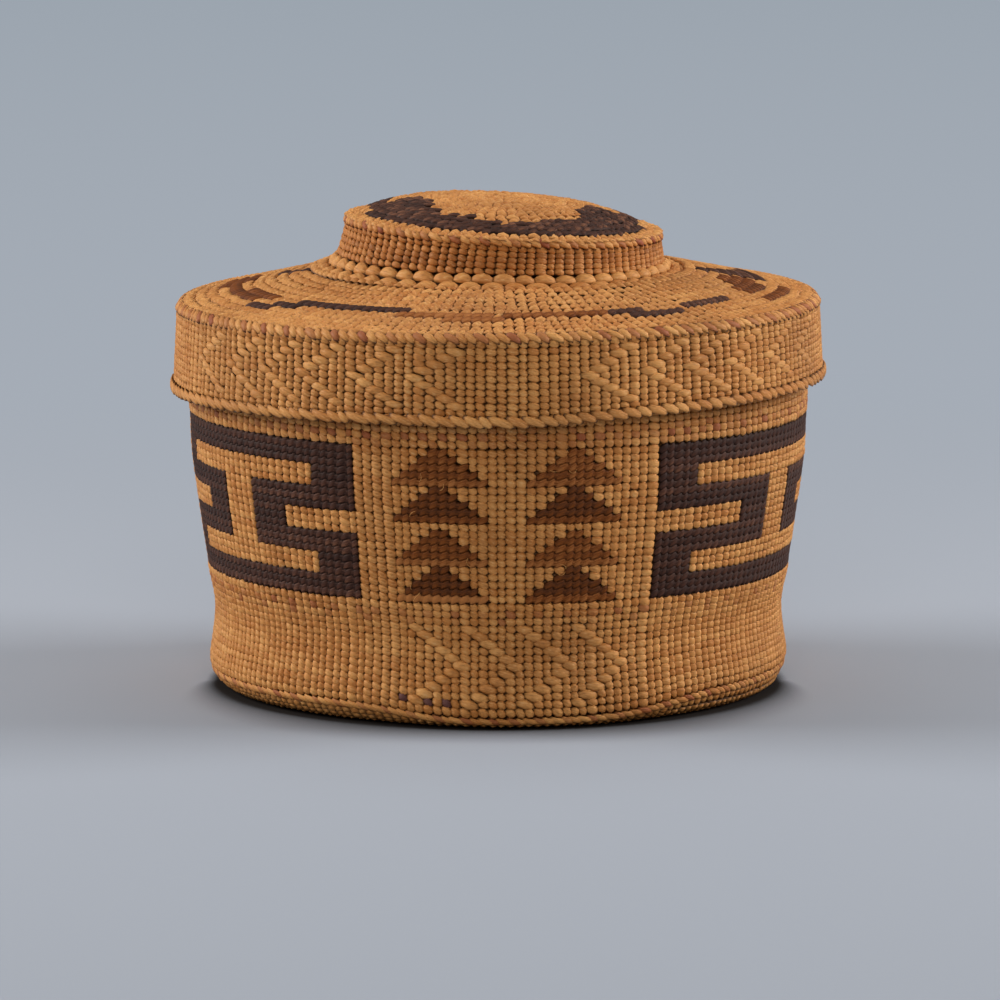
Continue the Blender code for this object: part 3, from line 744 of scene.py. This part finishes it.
for row in range(-1, FLANGE_ROWS):
    along = along_at(flange_line, FLANGE_FIRST + (row + 0.5) * flange_pitch)
    columns, _ = with_floats(flange_columns[row], flange_edges(FLANGE_ROWS - 1 - row))
    flange_strands += row_strands(flange_line, row, columns, flange_pitch, along, PLAIN_TWINE, lid_settle, bold=0.9)
strands_mesh("flange_twining", flange_strands, WALL_SECTION, "lid", ["lid_flange"])


def radius_of(name):
    """Outer radius of a round CAD node."""
    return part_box(name)[1].x / MM


LID_SECTION = strand_section("lid_section", 0.4, 1.68)
LID_TWINE = dict(PLAIN_TWINE, lift=0.82, stray=0.09)
lid_radius = radius_of("lid_top")
neck_radius = radius_of("knob_neck")
lid_pitch = (lid_radius + LID_OUTSET - neck_radius - 0.3) / LID_ROWS
lid_row_radii = lid_radius + LID_OUTSET - (np.arange(LID_ROWS) + 0.5) * lid_pitch
lid_probes = np.concatenate([[lid_radius - 0.05], lid_row_radii, [neck_radius + 0.5]])
lid_line = middle_line(face_points(skin("lid_top"), lid_probes, True), ease=3)
lid_columns = [even_columns(LID_INNER_WARPS)]
for radius in lid_row_radii[-2::-1]:
    lid_columns.append(grown(lid_columns[-1], int(TURN * radius / LID_WARP_SPACING / 2) * 2))
lid_columns.reverse()
lid_figures = [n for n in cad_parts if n.startswith("lid_figure")]
lid_figure_skins = {name: skin(name) for name in lid_figures}
lid_cells = {name: [] for name in lid_figures}
lid_strands = []
for row, radius in enumerate(lid_row_radii):
    along = np.interp(-radius, -lid_line["line"][:, 0], lid_line["length"])
    covered = np.zeros(len(lid_columns[row]))
    for name, tree in lid_figure_skins.items():
        cells = figure_cells_of(tree, lid_columns[row], radius, PROBE_TOP, False)
        covered = np.maximum(covered, cells)
        if cells.any():
            lid_cells[name].append((row, along, cells))
    lid_strands += row_strands(lid_line, row, lid_columns[row], lid_pitch, along, LID_TWINE, lid_settle,
                               sunk=covered)
strands_mesh("lid_top_twining", lid_strands, LID_SECTION, "lid", ["lid_top"])
for name in lid_figures:
    strands = []
    for row, along, cells in lid_cells[name]:
        for first, count in runs(cells):
            tone = random.uniform(0.45, 0.7) if "brown_front" in name else random.uniform(0.1, 0.4)
            strands += overlay_strands(lid_line, row, lid_columns[row], first, count, lid_pitch, along, lid_settle,
                                       tone, vary=0.15)
    strands_mesh(name + "_overlay", strands, OVERLAY_SECTION, "lid", [name],
                 "dark_overlay" if "dark" in name else "brown_overlay")


def ring_line(radius, height, slant):
    """A short middle line through a ridge whose face leans back by the slant, 6 mm long."""
    return middle_line([(radius + 3 * slant, height - 3), (radius - 3 * slant, height + 3)], depth=1.1, ease=1)


RING_MIDDLE = 3.0
EDGE_SLANT = 0.8                    # mm that a ridge at an edge leans back for each mm it climbs
edge_line = ring_line(radius_of("lid_edge_ridge"), lid_edge_height - 0.2, EDGE_SLANT)
ridge("lid_edge_twining", "lid", "lid_edge_ridge", edge_line, RING_MIDDLE * math.hypot(1, EDGE_SLANT), WARPS + 1,
      1.9, 1.3, lid_settle, strand_section("edge_section", 0.45, 0.85), proud=0.6, faded=0.4)
braid_line = ring_line(radius_of("lid_rim_braid"), BRAID_HEIGHT, 0.0)
ridge("lid_rim_braiding", "lid", "lid_rim_braid", braid_line, RING_MIDDLE, BRAID_STITCHES, 1.5, 1.4, lid_settle,
      strand_section("braid_section", 0.35, 0.9), proud=0.65)


# Knob. The middle of the lid rises in a hollow knob: two rows of wide stitches round its foot, a
# plain wall, three-strand twining with one reddish strand at its edge, and a low dome with a dark
# dyed ring. It leans to one side, and its top stands a little to the right of its foot.
KNOB_WARPS = 100
KNOB_WARP_SPACING = 2.1
KNOB_WALL_ROWS = 5
KNOB_ROW_PITCH = 1.27
KNOB_FIRST_ROW_HEIGHT = 100.05
FLOAT_HEIGHTS = (97.2, 98.5)
FLOAT_BOLD = (1.05, 1.0)
KNOB_TOP_ROWS = 18
KNOB_RIDGE_STITCHES = 99
RING_OVERHANG = 0.8                 # mm that a dyed row may reach in past the ring's own edge
RING_TOOTH = 2.4
RING_TOOTHED_RADIUS = 29
TOOTH_SHARE = 0.4
RING_SIDE_RADIUS = 31.4
RING_BACK_RADIUS = 26.5             # mm; behind, the ring thins to its outer rows
LOBE_REACH = 16.5                   # mm from the middle, where the ring widens at its two sides
LOBE_RADII = (19.0, 28.0)
KNOB_SIDESTEP = 1.3                 # mm that the knob's top stands to the right of its foot
LEAN_PROBE = 20.0                   # mm left and right of the middle, where the top's slope is taken
KNOB_FOOT_RADII = (46.0, 45.0, 44.0, 43.3, 42.0, 41.0, 40.4)
TOP_TWINE = dict(PLAIN_TWINE, stray=0.13)
# The knob's wall is given a darker root than the rest of the fabric.
DARK_KNOB_TWINE = dict(PLAIN_TWINE, shade=0.08)
FLOAT_TWINE = dict(PLAIN_TWINE, lift=0.85, lean=0.1, outside=(0.03, 0.1, 0.25, 0.5, 0.75, 0.9, 0.97))
knob_top_skin = skin("knob_top")
lean_heights = [knob_top_skin.ray_cast((x, 0.1, 200.0), (0, 0, -1))[0].z for x in (-LEAN_PROBE, LEAN_PROBE)]
KNOB_LEAN = (lean_heights[0] - lean_heights[1]) / (2 * LEAN_PROBE)
neck_foot = heights_of("knob_neck")[0]
knob_foot = face_points(skin("lid_top", "knob_neck"), KNOB_FOOT_RADII, True)
knob_side = side_points(skin("knob_neck", "knob_wall"), np.arange(neck_foot + 3.0, neck_foot + 12, 0.3))
knob_side = [spot for spot in knob_side if spot[0] > 36.0]
knob_wall_top = max(spot[1] for spot in knob_side)


def knob_settle(x, y, height):
    """The knob leans: its foot stays level, and its wall takes up the whole slope."""
    share = np.clip((height - neck_foot) / (knob_wall_top - neck_foot), 0, 1)
    return height - x * KNOB_LEAN * share


knob_line = middle_line(knob_foot + knob_side + [(knob_side[-1][0], knob_wall_top + 1)], ease=3)
knob_outside = knob_line["line"][:, 1] + STRAND_DEPTH * knob_line["normal"][:, 1]
knob_columns = wandering(even_columns(KNOB_WARPS), KNOB_WALL_ROWS + 2)
knob_strands, float_strands = [], []
for row, height in enumerate(FLOAT_HEIGHTS):
    along = np.interp(height, knob_outside, knob_line["length"])
    float_strands += row_strands(knob_line, row, knob_columns[row][row::2], 1.8, along, FLOAT_TWINE, knob_settle,
                                 bold=FLOAT_BOLD[row])
foot_along = np.interp(FLOAT_HEIGHTS[0], knob_outside, knob_line["length"]) - 1.75
float_strands += row_strands(knob_line, 2, knob_columns[0], 0.9, foot_along, LID_TWINE, knob_settle, bold=0.62)
for beside in (-0.9, 0.9, 2.4):
    backing = foot_along + beside + 0 * knob_columns[0]
    float_strands.append(laid(knob_line, knob_columns[0], backing, -0.35, 0.8, PLAIN_SHADE, 0.0, knob_settle, True))
strands_mesh("knob_foot_floats", float_strands, strand_section("float_section", 0.65, 1.55), "lid", ["knob_neck"])
for row in range(KNOB_WALL_ROWS):
    along = np.interp(KNOB_FIRST_ROW_HEIGHT + row * KNOB_ROW_PITCH, knob_outside, knob_line["length"])
    knob_strands += row_strands(knob_line, row, knob_columns[row + 2], KNOB_ROW_PITCH, along, DARK_KNOB_TWINE,
                                knob_settle, bold=0.8)
strands_mesh("knob_wall_twining", knob_strands, WALL_SECTION, "lid", ["knob_wall"])

knob_ridge_front = side_points(skin("knob_edge_ridge"), np.arange(knob_wall_top, knob_wall_top + 4, 0.1))
knob_ridge_radius = max(spot[0] for spot in knob_ridge_front)
knob_ridge_height = np.mean([spot[1] for spot in knob_ridge_front])
knob_ridge_line = ring_line(knob_ridge_radius, knob_ridge_height + 0.2, EDGE_SLANT)
ridge("knob_edge_twining", "lid", "knob_edge_ridge", knob_ridge_line, RING_MIDDLE * math.hypot(1, EDGE_SLANT),
      KNOB_RIDGE_STITCHES, 1.4, 1.2, knob_settle, strand_section("knob_ridge_section", 0.5, 0.82), proud=0.75,
      faded=0.45)

knob_top_radius = knob_ridge_radius - 1.6
knob_top_points = face_points(knob_top_skin, np.linspace(knob_top_radius, 0, 60), True)
knob_top_line = middle_line([(knob_top_radius + 0.9, knob_top_points[0][1] - 0.1)] + knob_top_points, ease=3)
knob_top_pitch = knob_top_line["length"][-1] / KNOB_TOP_ROWS
knob_top_columns = [even_columns(FIRST_WARPS)]
knob_top_alongs = knob_top_line["length"][-1] - FIRST_RADIUS - np.arange(KNOB_TOP_ROWS) * knob_top_pitch
knob_top_radii = on_line(knob_top_line, knob_top_alongs, knob_top_line["line"][:, 0])
for radius in knob_top_radii[1:]:
    wanted = min(KNOB_WARPS, int(TURN * radius / KNOB_WARP_SPACING / 2) * 2)
    knob_top_columns.append(grown(knob_top_columns[-1], max(wanted, len(knob_top_columns[-1]))))
ring_skin = skin("knob_ring")
knob_top_strands, ring_strands = [], []
for row, (along, radius, columns) in enumerate(zip(knob_top_alongs, knob_top_radii, knob_top_columns)):
    columns = np.sort(columns + random.normal(0, 0.16, len(columns)) * TURN / len(columns))
    cells, toothed = (figure_cells_of(ring_skin, columns, radius + extra, PROBE_TOP, False)
                      for extra in (RING_OVERHANG, RING_TOOTH))
    toothed *= (radius < RING_TOOTHED_RADIUS) * (random.uniform(0, 1, len(columns)) < TOOTH_SHARE)
    cells = np.maximum(cells, toothed)
    cells *= radius < RING_SIDE_RADIUS + 2.0 * np.cos(columns) ** 2
    front = np.cos(columns) > 0
    cells *= (radius > RING_BACK_RADIUS) | front
    lobes = (np.abs(radius * np.sin(columns)) > LOBE_REACH) & front
    cells = np.maximum(cells, lobes * (LOBE_RADII[0] < radius < LOBE_RADII[1]))
    knob_top_strands += row_strands(knob_top_line, row, columns, knob_top_pitch, along, TOP_TWINE, knob_settle,
                                    sunk=cells, bold=1.12)
    for first, count in runs(cells):
        ring_strands += overlay_strands(knob_top_line, row, columns, first, count, knob_top_pitch, along,
                                        knob_settle, random.uniform(0.1, 0.5), vary=0.3, loose=0.2)
strands_mesh("knob_top_twining", knob_top_strands, WALL_SECTION, "lid", ["knob_top"])
strands_mesh("knob_ring_overlay", ring_strands, OVERLAY_SECTION, "lid", ["knob_ring"], "dark_overlay")
for name in ("knob_foot_floats", "knob_wall_twining", "knob_edge_twining", "knob_top_twining", "knob_ring_overlay"):
    mesh = bpy.data.objects[name].data
    spots = np.empty(len(mesh.vertices) * 3)
    mesh.vertices.foreach_get("co", spots)
    spots = spots.reshape(-1, 3)
    share = np.clip((spots[:, 2] / MM - neck_foot) / (knob_wall_top - neck_foot), 0, 1)
    spots[:, 0] += KNOB_SIDESTEP * MM * share
    mesh.vertices.foreach_set("co", spots.ravel())
    mesh.update()


# Floor of the knob. A plainly twined disc of thin root is laced in under the knob and shuts its
# hollow, so that the pebbles stay inside.
FLOOR_ROWS = 16
FLOOR_FIRST_PROBE = 0.5             # mm from the middle, where the floor's line begins
floor_radius = radius_of("rattle_floor")
floor_probes = np.linspace(FLOOR_FIRST_PROBE, floor_radius - 0.3, 40)
floor_line = middle_line(face_points(skin("rattle_floor"), floor_probes, False), depth=0.8)
floor_pitch = (floor_radius - 0.8 - FIRST_RADIUS) / (FLOOR_ROWS - 1)
floor_rows = FIRST_RADIUS + np.arange(FLOOR_ROWS) * floor_pitch
floor_strands = disc_strands(floor_line, floor_rows, floor_pitch, floor_rows - FLOOR_FIRST_PROBE)
strands_mesh("rattle_floor_twining", floor_strands, strand_section("thin_section", 0.3, 1.0), "lid", ["rattle_floor"])


# Pebbles. A few river stones, grey-brown and worn smooth, with fine specks of other minerals, lie
# loose on the floor of the knob, so that the lid rattles.
pebble = empty_material("river_pebble")
stone_space = add_node(pebble, "TexCoord")
stone_specks = add_node(pebble, "TexNoise", {"Scale": 900.0, "Detail": 4.0},
                        {"Vector": (stone_space, "Object")})
stone_ramp = add_node(pebble, "ValToRGB", links={"Fac": (stone_specks, "Fac")})
stone_ramp.color_ramp.elements[0].color = linear("#5a5650")
stone_ramp.color_ramp.elements[1].color = linear("#8f8a80")
stone_shader = add_node(pebble, "BsdfPrincipled", {"Roughness": 0.5}, {"Base Color": (stone_ramp, "Color")})
add_node(pebble, "OutputMaterial", links={"Surface": (stone_shader, "BSDF")})
for name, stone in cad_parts.items():
    if name.startswith("pebble"):
        stone.data.materials.clear()
        stone.data.materials.append(pebble)


# Studio: a plain pale floor that runs far back, a soft light at each side, weaker ones in front
# and above, and the camera low in front.
camera_data = bpy.data.cameras.new("camera")
camera_data.sensor_width = 36.0
camera_data.lens = 266.6
camera_data.clip_end = 20.0
camera = bpy.data.objects.new("camera", camera_data)
camera.location = (0.00043, -1.700, 0.29313)
camera.rotation_euler = (math.radians(90 - 8.392), 0, 0)
link(camera)
bpy.context.scene.camera = camera

floor_shape = bmesh.new()
bmesh.ops.create_grid(floor_shape, x_segments=1, y_segments=1, size=4.0)
floor_mesh = bpy.data.meshes.new("floor")
floor_shape.to_mesh(floor_mesh)
floor_shape.free()
floor = bpy.data.objects.new("floor", floor_mesh)
link(floor)

# Pale blue-grey paper: it shows its own colour and the shadow that the lamps cast round the basket,
# and a painted contact shadow darkens it where the basket meets it, reaching further in front than
# at the sides. Further back it runs into a glowing backdrop, painted darker towards the back as
# painted light falloff, which only the camera and clear or bright surfaces see.
paper = empty_material("pale_paper")
paper_space = add_node(paper, "TexCoord")
paper_place = add_node(paper, "SeparateXYZ", links={"Vector": (paper_space, "Object")})
paper_far = add_node(paper, "MapRange", {"From Min": 0.1, "From Max": 0.55}, {"Value": (paper_place, "Y")},
                     interpolation_type="SMOOTHSTEP")
# Painted light falloff: the backdrop's colour darkens towards the back.
backdrop_falloff_share = add_node(paper, "MapRange", {"From Min": 0.4, "From Max": 2.0}, {"Value": (paper_place, "Y")})
paper_rays = add_node(paper, "LightPath")
seen = (paper_rays, "Is Camera Ray")
for ray in ("Is Glossy Ray", "Is Transmission Ray"):
    seen = (add_node(paper, "Math", {}, {0: seen, 1: (paper_rays, ray)}, operation="MAXIMUM"), "Value")
far_share = add_node(paper, "Math", {}, {0: (paper_far, "Result"), 1: seen}, operation="MULTIPLY")
backdrop_colour = add_node(paper, "Mix", {"A": linear("#a6adb7"), "B": linear("#9ca5af")},
                           {"Factor": (backdrop_falloff_share, "Result")}, data_type="RGBA")
backdrop = add_node(paper, "Emission", {"Strength": 1.0}, {"Color": (backdrop_colour, 2)})
# Painted contact shadow: ambient occlusion darkens the paper near the basket, over a wider reach in front.
painted_shadow_reach = add_node(paper, "MapRange", {"From Min": -0.065, "From Max": 0.0, "To Min": 0.03, "To Max": 0.004},
                         {"Value": (paper_place, "Y")})
painted_contact_shadow = add_node(paper, "AmbientOcclusion", {}, {"Distance": (painted_shadow_reach, "Result")})
painted_shadow_share = add_node(paper, "MapRange", {"From Min": 0.45, "From Max": 0.9}, {"Value": (painted_contact_shadow, "AO")})
sheet_with_painted_shadow = add_node(paper, "Mix", {"A": linear("#2e2a28"), "B": linear("#a4a9b2")},
                        {"Factor": (painted_shadow_share, "Result")}, data_type="RGBA")
sheet = add_node(paper, "BsdfDiffuse", links={"Color": (sheet_with_painted_shadow, 2)})
paper_mix = add_node(paper, "MixShader", {}, {"Fac": (far_share, "Value"), 1: (sheet, "BSDF"),
                                              2: (backdrop, "Emission")})
add_node(paper, "OutputMaterial", links={"Surface": (paper_mix, "Shader")})
floor_mesh.materials.append(paper)

for name, spot, size, energy in (("left_softbox", (-1.15, 0.1, 0.65), 0.7, 14.0),
                                 ("right_softbox", (1.15, 0.1, 0.65), 0.7, 14.0),
                                 ("front_softbox", (0.0, -1.6, 0.75), 0.6, 6.6),
                                 ("top_softbox", (0.0, 0.5, 1.4), 1.0, 3.0)):
    lamp = bpy.data.lights.new(name, "AREA")
    lamp.shape = "SQUARE"
    lamp.size = size
    lamp.energy = energy
    holder = bpy.data.objects.new(name, lamp)
    holder.location = spot
    aim = -holder.location
    holder.rotation_euler = aim.to_track_quat("-Z", "Y").to_euler()
    link(holder)
world = bpy.data.worlds.new("studio")
world.use_nodes = True
world.node_tree.nodes["Background"].inputs["Color"].default_value = linear("#f4f2ee")
world.node_tree.nodes["Background"].inputs["Strength"].default_value = 0.22
bpy.context.scene.world = world
bpy.context.scene.view_settings.view_transform = "Standard"
